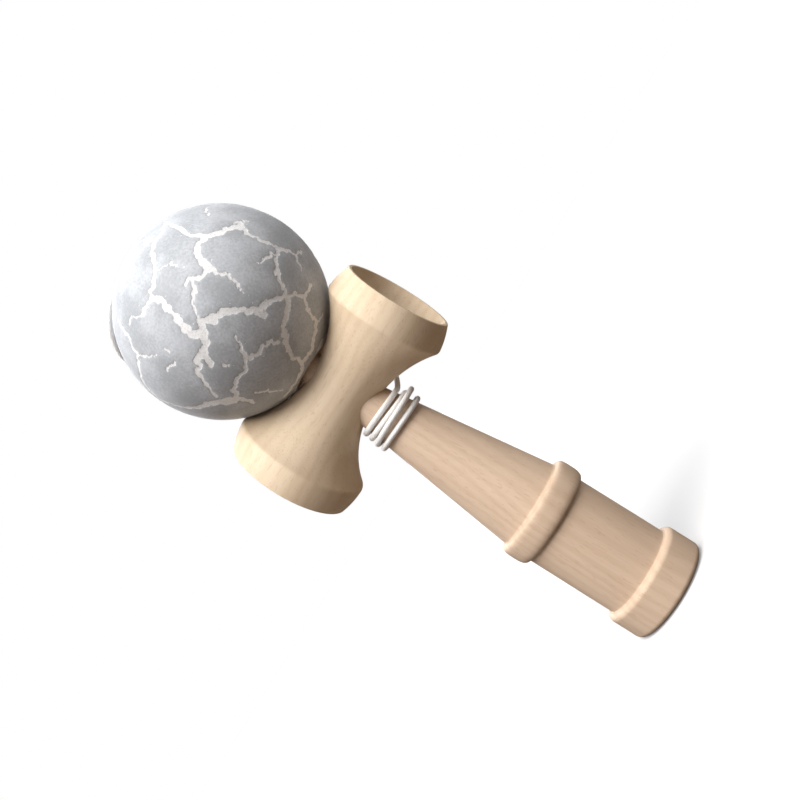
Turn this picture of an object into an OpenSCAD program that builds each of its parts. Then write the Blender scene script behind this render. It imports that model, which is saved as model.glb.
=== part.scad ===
// Cup and ball toy: a turned handle with a spike, a crosspiece with two cups,
// and a bored ball that is tied on with a string wound round the neck.
// It stands upright on its base rim at z = 0, with the handle's axis along Z.
// The small cup faces +X, the big cup -X, and the string hole is at the back, +Y.

/* [Handle] */
// Diameter of the base ring
base_d = 30.2; // [27:0.1:36]
// Height of the base ring
base_h = 10.6; // [7:0.1:16]
// Rounding of the base ring's lower edge
base_edge = 1.8; // [0.4:0.1:2]
// Rounding of the base ring's upper edge
base_shoulder = 1.7; // [0.4:0.1:2]
// Diameter of the base cup's mouth
base_cup_d = 23.8; // [16:0.1:24.2]
// Depth of the base cup
base_cup_depth = 6; // [2:0.1:7]
// Diameter of the grip between the two rings
grip_d = 26.1; // [22:0.1:26.5]
// Length of the grip between the two rings
grip_l = 26.8; // [15:0.1:40]
// Diameter of the middle ring
ring_d = 29.9; // [28:0.1:36]
// Height of the middle ring
ring_h = 7.7; // [5:0.1:12]
// Roundness of the middle ring's upper side, from 1 for an ellipse down to squarer
ring_upper = 0.5; // [0.3:0.05:1]
// Roundness of the middle ring's lower side, from 1 for an ellipse down to squarer
ring_lower = 0.7; // [0.3:0.05:1]
// Diameter of the neck just above the middle ring
neck_low_d = 25.5; // [20:0.1:27]
// Diameter of the neck where the crosspiece sits on it
neck_top_d = 11.6; // [11:0.1:14]
// Length of the neck from the middle ring to the crosspiece's seat
neck_l = 54.1; // [40:0.1:80]
// Diameter of the tenon that goes through the crosspiece
tenon_d = 9.6; // [8:0.1:10.4]
// Diameter of the spike's tip
tip_d = 4.8; // [3:0.1:6]

/* [Crosspiece] */
// Reach of either rim past the ball's side
rim_reach = 0.2; // [-3:0.1:8]
// Diameter of the crosspiece at its waist
waist_d = 19.2; // [18:0.1:23]
// Diameter of the big cup's rim
big_rim_d = 36.2; // [32:0.1:40]
// Greatest diameter of the big cup
big_bell_d = 38.8; // [36:0.1:44]
// Length from the big cup's rim to its greatest diameter
big_bevel_l = 7.9; // [4:0.1:10]
// Depth of the big cup
big_cup_depth = 9.5; // [5:0.1:12]
// Diameter of the small cup's rim
small_rim_d = 31.2; // [27:0.1:35]
// Greatest diameter of the small cup
small_bell_d = 35.3; // [33:0.1:40]
// Length from the small cup's rim to its greatest diameter
small_bevel_l = 7.8; // [4:0.1:10]
// Depth of the small cup
small_cup_depth = 8.5; // [5:0.1:11]
// Width of the lip round each cup
lip_w = 0.9; // [0.5:0.1:2]
// Crown of the bevel between the rim and the greatest diameter
bevel_crown = 0.3; // [0:0.1:0.8]
// Rounding where the bevel meets the bell
bell_edge = 1.6; // [0.4:0.1:3]
// Depth of the seat on the neck, from the waist's lowest line
seat_depth = 2.8; // [2.8:0.1:4.4]

/* [Ball] */
// Diameter of the ball
ball_d = 60; // [56:0.5:66]
// Diameter of the spike hole
hole_d = 13.8; // [11:0.1:15]
// Depth of the spike hole's straight wall, from the ball's lowest point
hole_depth = 46.3; // [42:0.1:48]
// Bevel round the mouth of the spike hole
hole_bevel = 0.5; // [0.2:0.1:1.5]
// Bevel round the string hole in the ball's top
top_bevel = 2.5; // [2:0.1:3.5]
// Diameter of the bead inside the ball
bead_d = 7.6; // [6.5:0.1:9]

/* [String] */
// Diameter of the string
cord_d = 1.5; // [1:0.1:1.7]
// Diameter of the string holes in the handle, the crosspiece and the ball
cord_hole_d = 2.6; // [2.2:0.1:3.6]
// Diameter of the hole through the bead
bead_hole_d = 2.2; // [2:0.1:3]
// Diameter of the knots
knot_d = 4.2; // [3.8:0.1:4.6]
// Length of the knots
knot_l = 3.4; // [2.5:0.1:3.8]
// Turns of string round the neck
wind_turns = 3.65; // [1.65:1:3.65]
// Rise from one turn of string to the next
wind_pitch = 2.2; // [2.1:0.1:2.6]
// Slope of the turns, as their rise above level on the big cup's side
wind_tilt = 0.9; // [0:0.1:1]
// Distance from the crosspiece's axis down to the first turn
wind_drop = 12.05; // [11.5:0.05:14]

/* [Clearances] */
// Gap all round between the tenon and its bore
tenon_gap = 0.05; // [0.02:0.01:0.15]
// Gap all round between the neck and its socket
socket_gap = 0.1; // [0.05:0.01:0.3]
// Gap between the ball and the crosspiece that it sits on
ball_gap = 0.25; // [0.2:0.05:0.5]
// Gap between the bead and its seat in the ball
bead_gap = 0.2; // [0.1:0.05:0.5]
// Gap all round between the handle's knot and its pocket
pocket_gap = 0.3; // [0.2:0.05:0.4]
// Gap between the spike's tip and the knot above it
spike_gap = 6; // [4.5:0.5:10]
// Gap between the string and the neck that it is wound on
lay_gap = 0.2; // [0.15:0.05:0.5]
// Gap between the string and the ball that it lies on
ball_lay_gap = 0.5; // [0.3:0.05:1]
// Gap between the string on the ball and its stretch inside the ball
lead_gap = 0.3; // [0.1:0.05:1]

/* [Hidden] */
$fn = 128;

handle_wood = [0.80, 0.68, 0.56];
cross_wood = [0.87, 0.76, 0.62];
paint_grey = [0.66, 0.67, 0.69];
string_white = [0.93, 0.93, 0.94];
bead_wood = [0.78, 0.64, 0.48];

// A cut runs this far past the face that it opens
past = 1;
// Straight steps in each rounded corner and in each turned curve
corner_steps = 8;
curve_steps = 20;
// A drill's point measures 118 degrees, so its slope stands half of that from the axis
drill_slope = 59;

// Heights up the handle
ring_low_z = base_h + grip_l;
ring_top_z = ring_low_z + ring_h;
seat_z = ring_top_z + neck_l;
cross_z = seat_z + waist_d / 2 - seat_depth;

// Each arm reaches from the crosspiece's middle to its rim
arm_l = ball_d / 2 + rim_reach;

// The ball comes to rest where it first meets one of the two arms
mouth_r = hole_d / 2 + hole_bevel;
big_bell_x = arm_l - big_bevel_l;
small_bell_x = arm_l - small_bevel_l;
big_rest = arm_rest(big_bell_x, big_bell_d / 2);
small_rest = arm_rest(small_bell_x, small_bell_d / 2);
ball_z = cross_z + max(big_rest, small_rest) + ball_gap;

// The bead hangs in the drilled point of the spike hole, with the knot and the spike below it
drill_end_z = ball_z - ball_d / 2 + hole_depth;
drill_tip_z = drill_end_z + hole_d / 2 / tan(drill_slope);
bead_z = drill_tip_z - (bead_d / 2 + bead_gap) / sin(drill_slope);
ball_knot_z = bead_z - bead_d / 2 - knot_l / 2;
tip_z = ball_knot_z - knot_l / 2 - spike_gap;
spike_z = cross_z + sqrt(pow(waist_d / 2, 2) - pow(tenon_d / 2, 2));

// The handle's knot lies in a pocket in the front of the tenon
pocket_floor_y = -(tenon_d / 2 - knot_l - pocket_gap);
handle_knot_y = pocket_floor_y - knot_l / 2;

// Rings in each turn of string, sides of the wound string and sides of its free stretches
turn_rings = 24;
wound_sides = 6;
free_sides = 8;
// Rings between two points of a free stretch
free_rings = 2;

// Turns that have slipped up or down the neck, as [turn, rise]
wind_up = [[0.5, 0], [1, -0.3], [1.5, 0.2], [1.75, 0.5], [2, 1.1], [2.25, 0.7], [2.5, -0.05],
           [3, 0.4], [3.5, 0.2]];
// The loose turn that stands off the neck, as [turn, distance]
wind_out = [[1.5, 0], [1.75, 1.25], [2, 1.75], [2.25, 1.2], [2.5, 0]];

// Free string behind the crosspiece and down to the winding, from the crosspiece's centre
tail_points = [[0, 12.5, -0.2], [0, 14.3, -1.5], [0, 14.8, -4], [0, 14, -8], [-0.5, 12.8, -12.5],
               [-1.5, 11.5, -16.5], [-3, 10, -19.2]];
// Free string from the winding up behind the small cup, from the crosspiece's centre
lead_points = [[8.3, 4, -12], [9, 7, -10.6], [9.8, 10.2, -8], [10, 13, -4], [9.5, 15.2, 2], [8, 19, 8.5],
               [5.5, 23.5, 16]];
// String laid on the ball, as longitude and latitude in degrees, from the back to the top
ball_laid = [[84, -32], [94, -20], [105, -9], [119, 1], [136, 10], [153, 18], [171, 26], [188, 35],
             [200, 45], [204, 54], [199, 63], [186, 71], [165, 79]];
// String that turns over the ball's top and into its hole, from the ball's top
top_points = [[-3, 1.4, 1.1], [-1.5, 0.7, 0.6], [-0.4, 0.2, -0.6]];
// Depth in the ball's top at which the string stands straight in its hole
top_turn = 2.2;

function unit(v) = v / norm(v);

// Radius of the neck at height z
function neck_r(z) = neck_low_d / 2 + (neck_top_d - neck_low_d) / 2 * (z - ring_top_z) / neck_l;

// Radius of the hollow arc that runs level from the waist and out to a bell
function bell_arc_r(bell_x, bell_r) =
    (pow(bell_x, 2) + pow(bell_r - waist_d / 2, 2)) / (2 * (bell_r - waist_d / 2));

// Radius of an arm at distance x from the crosspiece's middle
function arm_r(x, bell_x, bell_r) =
    let (r = bell_arc_r(bell_x, bell_r)) waist_d / 2 + r - sqrt(r * r - x * x);

// Height of the ball's centre over the crosspiece's axis where the ball touches an arm
function arm_rest(bell_x, bell_r) =
    max([for (i = [0 : curve_steps])
        let (x = mouth_r + (bell_x - mouth_r) * i / curve_steps)
        arm_r(x, bell_x, bell_r) + sqrt(pow(ball_d / 2, 2) - x * x)]);

// Radius of the sphere that cuts a dish of this mouth and depth
function dish_r(mouth, depth) = (pow(mouth / 2, 2) + pow(depth, 2)) / (2 * depth);

// Points of the arc that rounds corner b between its neighbours a and c
function corner(a, b, c, r) =
    let (u = unit(a - b), v = unit(c - b), half = acos(u * v) / 2)
    let (centre = b + unit(u + v) * r / sin(half))
    let (p = unit(b + u * r / tan(half) - centre), q = unit(b + v * r / tan(half) - centre))
    let (turn = 180 - 2 * half)
    [for (i = [0 : corner_steps])
        let (s = turn * i / corner_steps) centre + r * (p * sin(turn - s) + q * sin(s)) / sin(turn)];

// An outline from points [x, y, rounding], where a rounding of 0 leaves the point as it is
function flat(p) = [p[0], p[1]];
function outline(p) =
    [for (i = [0 : len(p) - 1])
        each p[i][2] == 0 ? [flat(p[i])] : corner(flat(p[i - 1]), flat(p[i]), flat(p[i + 1]), p[i][2])];

// Points of a smooth curve through p, with a few steps between neighbours
function smooth(p, steps) =
    let (n = len(p) - 1)
    concat([for (i = [0 : n - 1], j = [0 : steps - 1])
        let (t = j / steps, a = p[max(i - 1, 0)], b = p[i], c = p[i + 1], d = p[min(i + 2, n)])
        b + t / 2 * ((c - a) + t * ((2 * a - 5 * b + 4 * c - d) + t * (3 * b - a - 3 * c + d)))], [p[n]]);

// Direction of a path at each of its points
function directions(p) =
    let (n = len(p) - 1) [for (i = [0 : n]) unit(p[min(i + 1, n)] - p[max(i - 1, 0)])];

// A side direction at each point, carried along the path without twist
function square_to(v, t) = unit(v - (v * t) * t);
function sides_of(t, first) =
    [for (i = 0, s = square_to(first, t[0]); i < len(t);
          i = i + 1, s = i < len(t) ? square_to(s, t[i]) : s) s];

// A round tube of diameter d along path p, closed at both ends
module tube(p, d, sides, first) {
    t = directions(p);
    u = sides_of(t, first);
    last = len(p) - 1;
    points = [for (i = [0 : last], k = [0 : sides - 1])
        let (a = 360 * k / sides) p[i] + d / 2 * (cos(a) * u[i] + sin(a) * cross(t[i], u[i]))];
    walls = [for (i = [0 : last - 1], k = [0 : sides - 1], half = [0, 1])
        let (a = i * sides + k, b = i * sides + (k + 1) % sides)
        half == 0 ? [a, b + sides, b] : [a, a + sides, b + sides]];
    start_cap = [for (k = [1 : sides - 2]) [0, k, k + 1]];
    end = last * sides;
    end_cap = [for (k = [1 : sides - 2]) [end, end + k + 1, end + k]];
    polyhedron(points, concat(walls, start_cap, end_cap));
}

// A point of the winding: it runs clockwise from the small cup's side, and down
function wound(turn) =
    let (level = cross_z - wind_drop - wind_pitch * turn - wind_tilt * cos(360 * turn))
    let (z = level + lookup(turn, wind_up))
    let (r = neck_r(z) + lay_gap + cord_d / 2 + lookup(turn, wind_out))
    [r * cos(360 * turn), -r * sin(360 * turn), z];

// A straight run on from a point, one diameter long, keeps two end faces square to each other
function run_on(from, to) = to + cord_d * unit(to - from);

wound_steps = round(wind_turns * turn_rings);
wound_curve = [for (i = [0 : wound_steps]) wound(i / turn_rings)];
wound_first = run_on(wound_curve[1], wound_curve[0]);
wound_last = run_on(wound_curve[wound_steps - 1], wound_curve[wound_steps]);
winding_path = concat([wound_first], wound_curve, [wound_last]);

// Least gap of the winding to itself, between points more than half a turn apart
winding_gap = min([for (i = [0 : wound_steps], j = [i + turn_rings / 2 : 1 : wound_steps])
    norm(wound_curve[i] - wound_curve[j])]) - cord_d;
echo(least_gap_of_winding_mm = winding_gap);

cross_centre = [0, 0, cross_z];
ball_top = [0, 0, ball_z + ball_d / 2];
lead_end = ball_top - [0, 0, top_turn];
ball_lay_r = ball_d / 2 + cord_d / 2 + ball_lay_gap;
function on_ball(p) = [0, 0, ball_z] + ball_lay_r * [cos(p[1]) * cos(p[0]), cos(p[1]) * sin(p[0]), sin(p[1])];

tail_start = [0, handle_knot_y + knot_l / 2, cross_z];
tail_exit = [0, waist_d / 2, cross_z];
tail_free = concat([for (p = tail_points) cross_centre + p], [run_on(wound_curve[wound_steps], wound_last)]);
tail_path = concat([tail_start, tail_exit], smooth(tail_free, free_rings), [wound_last]);

lead_free = concat([run_on(wound_curve[0], wound_first)], [for (p = lead_points) cross_centre + p],
    [for (p = ball_laid) on_ball(p)], [for (p = top_points) ball_top + p]);
lead_path = concat([wound_first], smooth(lead_free, free_rings), [lead_end + [0, 0, cord_d / 2], lead_end]);

// A round piece turned on the Z axis, from its outline
module turned(p) {
    rotate_extrude() polygon(p);
}

// A knot pulled tight, as a short barrel along Z round its own middle
module knot() {
    turned(outline([[0, -knot_l / 2, 0], [knot_d / 2, -knot_l / 2, knot_l / 3],
        [knot_d / 2, knot_l / 2, knot_l / 3], [0, knot_l / 2, 0]]));
}

// Outline of the middle ring from the grip to the neck: half an ellipse with squarer shoulders
function ring_bead() =
    [for (i = [0 : curve_steps])
        let (a = 180 * i / curve_steps, below = a < 90, low_r = (below ? grip_d : neck_low_d) / 2)
        let (roundness = below ? ring_lower : ring_upper)
        let (rise = sign(cos(a)) * pow(abs(cos(a)), roundness))
        [low_r + (ring_d / 2 - low_r) * pow(sin(a), roundness), ring_low_z + ring_h / 2 * (1 - rise), 0]];

module handle() {
    dish = dish_r(base_cup_d, base_cup_depth);
    color(handle_wood) difference() {
        turned(outline(concat(
            [[0, 0, 0], [base_d / 2, 0, base_edge], [base_d / 2, base_h, base_shoulder],
             [grip_d / 2, base_h, 0]],
            ring_bead(),
            [[neck_top_d / 2, seat_z, 0], [tenon_d / 2, seat_z, 0], [tenon_d / 2, spike_z, 0],
             [tip_d / 2, tip_z, tip_d / 3], [0, tip_z, 0]])));
        translate([0, 0, base_cup_depth - dish]) sphere(r = dish);
        translate([0, 0, cross_z]) rotate([-90, 0, 0])
            cylinder(d = cord_hole_d, h = tenon_d + past, center = true);
        translate([0, pocket_floor_y, cross_z]) rotate([90, 0, 0])
            cylinder(d = knot_d + 2 * pocket_gap, h = tenon_d / 2 + past);
    }
}

// One arm's outline from the waist out to the rim, as [radius, distance from the middle, rounding]
function arm_outline(bell_x, bell_d, rim_d) =
    let (mid_r = (bell_d + rim_d) / 4 + bevel_crown)
    concat([for (i = [0 : curve_steps - 1])
                let (x = bell_x * i / curve_steps) [arm_r(x, bell_x, bell_d / 2), x, 0]],
           [[bell_d / 2, bell_x, bell_edge], [mid_r, (bell_x + arm_l) / 2, 0], [rim_d / 2, arm_l, 0]]);

module arm(bell_x, bell_d, rim_d, depth) {
    dish = dish_r(rim_d - 2 * lip_w, depth);
    difference() {
        turned(outline(concat([[0, 0, 0]], arm_outline(bell_x, bell_d, rim_d), [[0, arm_l, 0]])));
        translate([0, 0, arm_l - depth + dish]) sphere(r = dish);
    }
}

module crosspiece() {
    socket_l = waist_d / 2;
    spread = (neck_low_d - neck_top_d) / 2 * socket_l / neck_l;
    socket_r = neck_top_d / 2 + socket_gap;
    color(cross_wood) translate(cross_centre) difference() {
        union() {
            rotate([0, 90, 0]) arm(small_bell_x, small_bell_d, small_rim_d, small_cup_depth);
            rotate([0, -90, 0]) arm(big_bell_x, big_bell_d, big_rim_d, big_cup_depth);
        }
        cylinder(r = tenon_d / 2 + tenon_gap, h = waist_d + 2 * past, center = true);
        translate([0, 0, seat_z - cross_z - socket_l])
            cylinder(r1 = socket_r + spread, r2 = socket_r, h = socket_l);
        rotate([-90, 0, 0]) cylinder(d = cord_hole_d, h = waist_d / 2 + past);
    }
}

module ball() {
    mouth_z = -sqrt(pow(ball_d / 2, 2) - pow(mouth_r, 2));
    bevel_l = ball_d / 2 + mouth_z + past;
    cord_hole_r = cord_hole_d / 2;
    color(paint_grey) translate([0, 0, ball_z]) difference() {
        sphere(d = ball_d);
        translate([0, 0, -ball_d / 2 - past]) cylinder(d = hole_d, h = hole_depth + past);
        translate([0, 0, hole_depth - ball_d / 2])
            cylinder(r1 = hole_d / 2, r2 = 0, h = drill_tip_z - drill_end_z);
        translate([0, 0, mouth_z - bevel_l])
            cylinder(r1 = mouth_r + bevel_l, r2 = hole_d / 2, h = hole_bevel + bevel_l);
        cylinder(r = cord_hole_r, h = ball_d / 2 + past);
        translate([0, 0, ball_d / 2 - top_bevel])
            cylinder(r1 = cord_hole_r, r2 = cord_hole_r + top_bevel + past, h = top_bevel + past);
    }
}

module string_bead() {
    color(bead_wood) translate([0, 0, bead_z]) difference() {
        sphere(d = bead_d);
        cylinder(d = bead_hole_d, h = bead_d + 2 * past, center = true);
    }
}

module ball_knot() {
    color(string_white) translate([0, 0, ball_knot_z]) knot();
}

module handle_knot() {
    color(string_white) translate([0, handle_knot_y, cross_z]) rotate([90, 0, 0]) knot();
}

module string_tail() {
    color(string_white) tube(tail_path, cord_d, free_sides, [1, 0, 0]);
}

module string_winding() {
    color(string_white) tube(winding_path, cord_d, wound_sides, [0, 0, 1]);
}

module string_lead() {
    color(string_white) tube(lead_path, cord_d, free_sides, [1, 0, 0]);
}

module string_inner() {
    low_z = ball_knot_z + knot_l / 2;
    color(string_white) translate([0, 0, low_z]) cylinder(d = cord_d, h = lead_end[2] - lead_gap - low_z);
}

handle();
crosspiece();
ball();
string_bead();
ball_knot();
handle_knot();
string_tail();
string_winding();
string_lead();
string_inner();
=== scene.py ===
import math

import bpy
import numpy as np
from mathutils import Matrix


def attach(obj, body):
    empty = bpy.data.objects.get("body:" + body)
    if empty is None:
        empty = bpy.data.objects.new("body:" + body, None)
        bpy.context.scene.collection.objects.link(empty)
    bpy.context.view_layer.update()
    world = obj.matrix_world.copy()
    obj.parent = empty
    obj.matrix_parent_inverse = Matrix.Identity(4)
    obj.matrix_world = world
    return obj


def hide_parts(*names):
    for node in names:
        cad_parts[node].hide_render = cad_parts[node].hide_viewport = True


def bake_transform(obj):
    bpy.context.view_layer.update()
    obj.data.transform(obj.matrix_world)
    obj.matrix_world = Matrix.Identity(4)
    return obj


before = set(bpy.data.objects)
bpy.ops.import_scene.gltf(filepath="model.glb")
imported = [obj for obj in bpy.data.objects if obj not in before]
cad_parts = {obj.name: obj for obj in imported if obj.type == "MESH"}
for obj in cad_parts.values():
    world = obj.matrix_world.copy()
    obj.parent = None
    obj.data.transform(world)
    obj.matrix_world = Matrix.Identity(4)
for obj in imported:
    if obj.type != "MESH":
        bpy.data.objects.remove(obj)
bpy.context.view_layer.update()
scene = bpy.context.scene
mm = 0.001  # the sizes below are in millimetres
fullTurn = 2 * math.pi
print("frame:", len(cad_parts), "nodes")

# The camera stands level before the toy, and the picture is turned about its line of sight
camera = {
    "turn": 13.1, "tilt": -1.75, "roll": -58.0,
    "place": (74.5, -296.3, 81.5), "focal": 1102.75, "imageWidth": 800, "sensor": 36,
    "nearest": 0.01,
}


# Matrix of an object with the given axes and place
def axesMatrix(x, y, z, place=(0, 0, 0)):
    placed = np.eye(4)
    placed[:3] = np.stack([x, y, z, place], -1)
    return Matrix(placed.tolist())


def placeCamera():
    turn, tilt, roll = (math.radians(camera[k]) for k in ("turn", "tilt", "roll"))
    right = np.array([math.cos(turn), math.sin(turn), 0])
    level = math.cos(tilt)
    back = np.array([math.sin(turn) * level, -math.cos(turn) * level, math.sin(tilt)])
    up = np.cross(back, right)
    across = math.cos(roll) * right + math.sin(roll) * up
    upward = -math.sin(roll) * right + math.cos(roll) * up
    data = bpy.data.cameras.new("camera")
    data.sensor_width = camera["sensor"]
    data.lens = camera["focal"] / camera["imageWidth"] * camera["sensor"]
    data.clip_start = camera["nearest"]
    made = bpy.data.objects.new("camera", data)
    scene.collection.objects.link(made)
    made.matrix_world = axesMatrix(across, upward, back, np.array(camera["place"]) * mm)
    scene.camera = made


placeCamera()
print("camera set")


# Mesh of a grid of points: rows run along a profile or path, columns go once round it.
# A pole closes the first or the last row to a point; a closed grid joins its last row to its first.
def gridPiece(name, points, poles=(None, None), closed=False, along=None):
    rows, columns = points.shape[:2]
    index = np.arange(rows * columns).reshape(rows, columns)
    ring = np.vstack([index, index[:1]]) if closed else index
    beside = np.roll(ring, -1, axis=1)
    quads = np.stack([ring[:-1], beside[:-1], beside[1:], ring[1:]], -1).reshape(-1, 4)
    vertices = points.reshape(-1, 3)
    column = np.arange(columns)
    fans, fanUv = [], []
    along = np.linspace(0, 1, rows) if along is None else along
    for pole, row in zip(poles, (0, rows - 1)):
        if pole is None:
            continue
        tip = np.full(columns, len(vertices))
        vertices = np.vstack([vertices, pole])
        here, there = index[row], np.roll(index[row], -1)
        fans.append(np.stack([tip, there, here] if row == 0 else [here, there, tip], -1))
        turns = [column + 0.5, column + 1, column] if row == 0 else [column, column + 1, column + 0.5]
        fanUv.append(np.stack([np.stack(turns, -1) / columns, np.full((columns, 3), along[row])], -1))
    faces = quads.tolist() + [f for fan in fans for f in fan.tolist()]
    mesh = bpy.data.meshes.new(name)
    mesh.from_pydata((vertices * mm).tolist(), [], faces)
    mesh.shade_smooth()
    # u goes round, v runs along
    spans = np.append(along, 2 * along[-1] - along[-2]) if closed else along
    shape = (len(spans) - 1, columns)
    low, high = (np.broadcast_to(edge[:, None], shape) for edge in (spans[:-1], spans[1:]))
    left = np.broadcast_to(column / columns, shape)
    right = left + 1 / columns
    u, v = np.stack([left, right, right, left], -1), np.stack([low, low, high, high], -1)
    uv = np.stack([u, v], -1)
    flat = np.concatenate([uv.reshape(-1)] + [f.reshape(-1) for f in fanUv])
    mesh.uv_layers.new(name="UVMap").data.foreach_set("uv", flat.astype(np.float32))
    piece = bpy.data.objects.new(name, mesh)
    scene.collection.objects.link(piece)
    return piece


# Surface of revolution: each profile point [radius, height] goes once round the axis
def turned(profile, columns, axis="Z", centre=(0, 0, 0)):
    angle = np.arange(columns) * fullTurn / columns
    radius, height = profile[:, :1], profile[:, 1:]
    first, second = radius * np.cos(angle), radius * np.sin(angle)
    level = np.broadcast_to(height, first.shape)
    order = [first, second, level] if axis == "Z" else [level, first, second]
    return np.stack(order, -1) + np.array(centre)


# Points of a circle's arc from one angle to another, in degrees
def arc(centre, radius, start, stop, steps):
    angle = np.radians(np.linspace(start, stop, steps))
    return np.array(centre) + radius * np.stack([np.cos(angle), np.sin(angle)], -1)


# Points of a straight run
def run(a, b, steps):
    return np.array(a) + (np.array(b) - np.array(a)) * np.linspace(0, 1, steps)[:, None]


# Arc that rounds corner b between the points a and c
def rounded(a, b, c, radius, steps=7):
    a, b, c = (np.array(p, float) for p in (a, b, c))
    toA, toC = (a - b) / np.linalg.norm(a - b), (c - b) / np.linalg.norm(c - b)
    half = math.acos(float(np.clip(toA @ toC, -1, 1))) / 2
    middle = b + (toA + toC) / np.linalg.norm(toA + toC) * radius / math.sin(half)
    p, q = (b + to * radius / math.tan(half) - middle for to in (toA, toC))
    sweep = math.pi - 2 * half
    part = np.linspace(0, 1, steps)[:, None] * sweep
    return middle + (p * np.sin(sweep - part) + q * np.sin(part)) / math.sin(sweep)


# Joins runs into one profile with points about a step apart, and leaves the ends of each run in place
def profileOf(*runs, step):
    points = np.vstack(runs)
    gap = np.linalg.norm(np.diff(points, axis=0), axis=1)
    points = points[np.append(True, gap > 1e-6)]  # no point twice
    gap = np.linalg.norm(np.diff(points, axis=0), axis=1)
    parts = np.maximum(np.ceil(gap / step).astype(int), 1)
    start = np.repeat(np.arange(len(gap)), parts)
    first = np.concatenate([[0], np.cumsum(parts)[:-1]])
    share = (np.arange(parts.sum()) - first[start]) / parts[start]
    filled = points[start] + (points[start + 1] - points[start]) * share[:, None]
    return np.vstack([filled, points[-1:]])


# Smooth curve through the points: Catmull-Rom, with the same number of steps in each span
def smoothCurve(points, steps):
    p = np.vstack([2 * points[0] - points[1], points, 2 * points[-1] - points[-2]])
    t = (np.arange(steps) / steps)[None, :, None]
    a, b, c, d = (p[i : len(p) - 3 + i, None] for i in range(4))
    curve = b + t / 2 * ((c - a) + t * ((2 * a - 5 * b + 4 * c - d) + t * (3 * b - a - 3 * c + d)))
    return np.vstack([curve.reshape(-1, 3), points[-1:]])


# Points at even distances along a path, after its small kinks are averaged out
def evenPath(path, step, softening):
    for passes in range(2):
        far = np.append(0, np.cumsum(np.linalg.norm(np.diff(path, axis=0), axis=1)))
        count = int(round(far[-1] / step)) + 1
        even = np.linspace(0, far[-1], count)
        path = np.stack([np.interp(even, far, path[:, k]) for k in range(3)], -1)
        if passes == 0:
            width = int(round(softening / step))
            kernel = np.hanning(2 * width + 3)[1:-1]
            kernel /= kernel.sum()
            before, after = 2 * path[0] - path[width:0:-1], 2 * path[-1] - path[-2 : -width - 2 : -1]
            longer = np.vstack([before, path, after])
            path = np.stack([np.convolve(longer[:, k], kernel, "valid") for k in range(3)], -1)
    return path


# Directions at longitudes and latitudes in degrees
def directions(lonLat):
    lon, lat = np.radians(np.array(lonLat, float)).T
    return np.stack([np.cos(lat) * np.cos(lon), np.cos(lat) * np.sin(lon), np.sin(lat)], -1)


# Circles of radius 1 across a path, each in the plane of its two directions there
def circles(side, other, count):
    angle = np.arange(count) * fullTurn / count
    return np.cos(angle)[None, :, None] * side[:, None] + np.sin(angle)[None, :, None] * other[:, None]


# Round tube: a circle carried along the path without twist
def tubeGrid(path, radius, sides):
    ahead = np.gradient(path, axis=0)
    ahead /= np.linalg.norm(ahead, axis=1)[:, None]
    side = np.empty_like(ahead)
    here = np.cross(ahead[0], [0.3, 0.2, 0.9])  # any direction off the path's start
    for i, direction in enumerate(ahead):
        here = here - (here @ direction) * direction
        here /= np.linalg.norm(here)
        side[i] = here
    return path[:, None] + radius[..., None] * circles(side, np.cross(ahead, side), sides)


cross = {"z": 106, "armLength": 30.2, "waist": 9.6}
ball = {
    "z": 145.56, "radius": 30,  # a hair below its solid, so that it meets the wood
    "columns": 360, "rows": 190, "edgeTrim": 0.4, "wallStep": 2.5,
    "paintedRows": 7, "fadeRows": 14,  # how far the paint goes into the string hole and the mouth
}
string = {
    "diameter": 1.5, "softening": 1.0,
    # braid: strands each way round, crossings in a diameter, mesh points across a crown,
    # how a crown is rounded, how far it stands out, and the depth of the grooves
    "strands": 4, "plait": 0.62, "perCrown": 4, "crownPower": 0.45, "crownRise": 0.07, "groove": 0.08,
    "turns": 3.65, "perTurn": 48, "pitch": 2.2, "tilt": 0.9, "drop": 12.05, "layGap": 0.2, "ballGap": 0.5,
    "knotY": -1.1, "boreY": 6, "knotZ": 156.12, "leadEnd": 2.2, "spanSteps": 12,
    # turns that have slipped up the neck, and the loose turn that stands off it, as turn and distance
    "slip": [[0.5, 0], [1, -0.3], [1.5, 0.2], [1.75, 0.5], [2, 1.1], [2.25, 0.7], [2.5, -0.05],
             [3, 0.4], [3.5, 0.2]],
    "loose": [[1.5, 0], [1.75, 1.25], [2, 1.75], [2.25, 1.2], [2.5, 0]],
    # from the crosspiece's centre
    "tail": [[0, 12.5, -0.2], [0, 14.3, -1.5], [0, 14.8, -4], [0, 14, -8], [-0.5, 12.8, -12.5],
             [-1.5, 11.5, -16.5], [-3, 10, -19.2]],
    "lead": [[8.3, 4, -12], [9, 7, -10.6], [9.8, 10.2, -8], [10, 13, -4], [9.5, 15.2, 2], [8, 19, 8.5],
             [5.5, 23.5, 16]],
    # longitude and latitude on the ball, in degrees
    "laid": [[84, -32], [94, -20], [105, -9], [119, 1], [136, 10], [153, 18], [171, 26], [188, 35],
             [200, 45], [204, 54], [199, 63], [186, 71], [165, 79]],
    # from the ball's top
    "top": [[-3, 1.4, 1.1], [-1.5, 0.7, 0.6], [-0.4, 0.2, -0.6]],
}
neck = {"lowZ": 45.1, "lowR": 12.75, "topZ": 99.2, "topR": 5.8}


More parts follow.
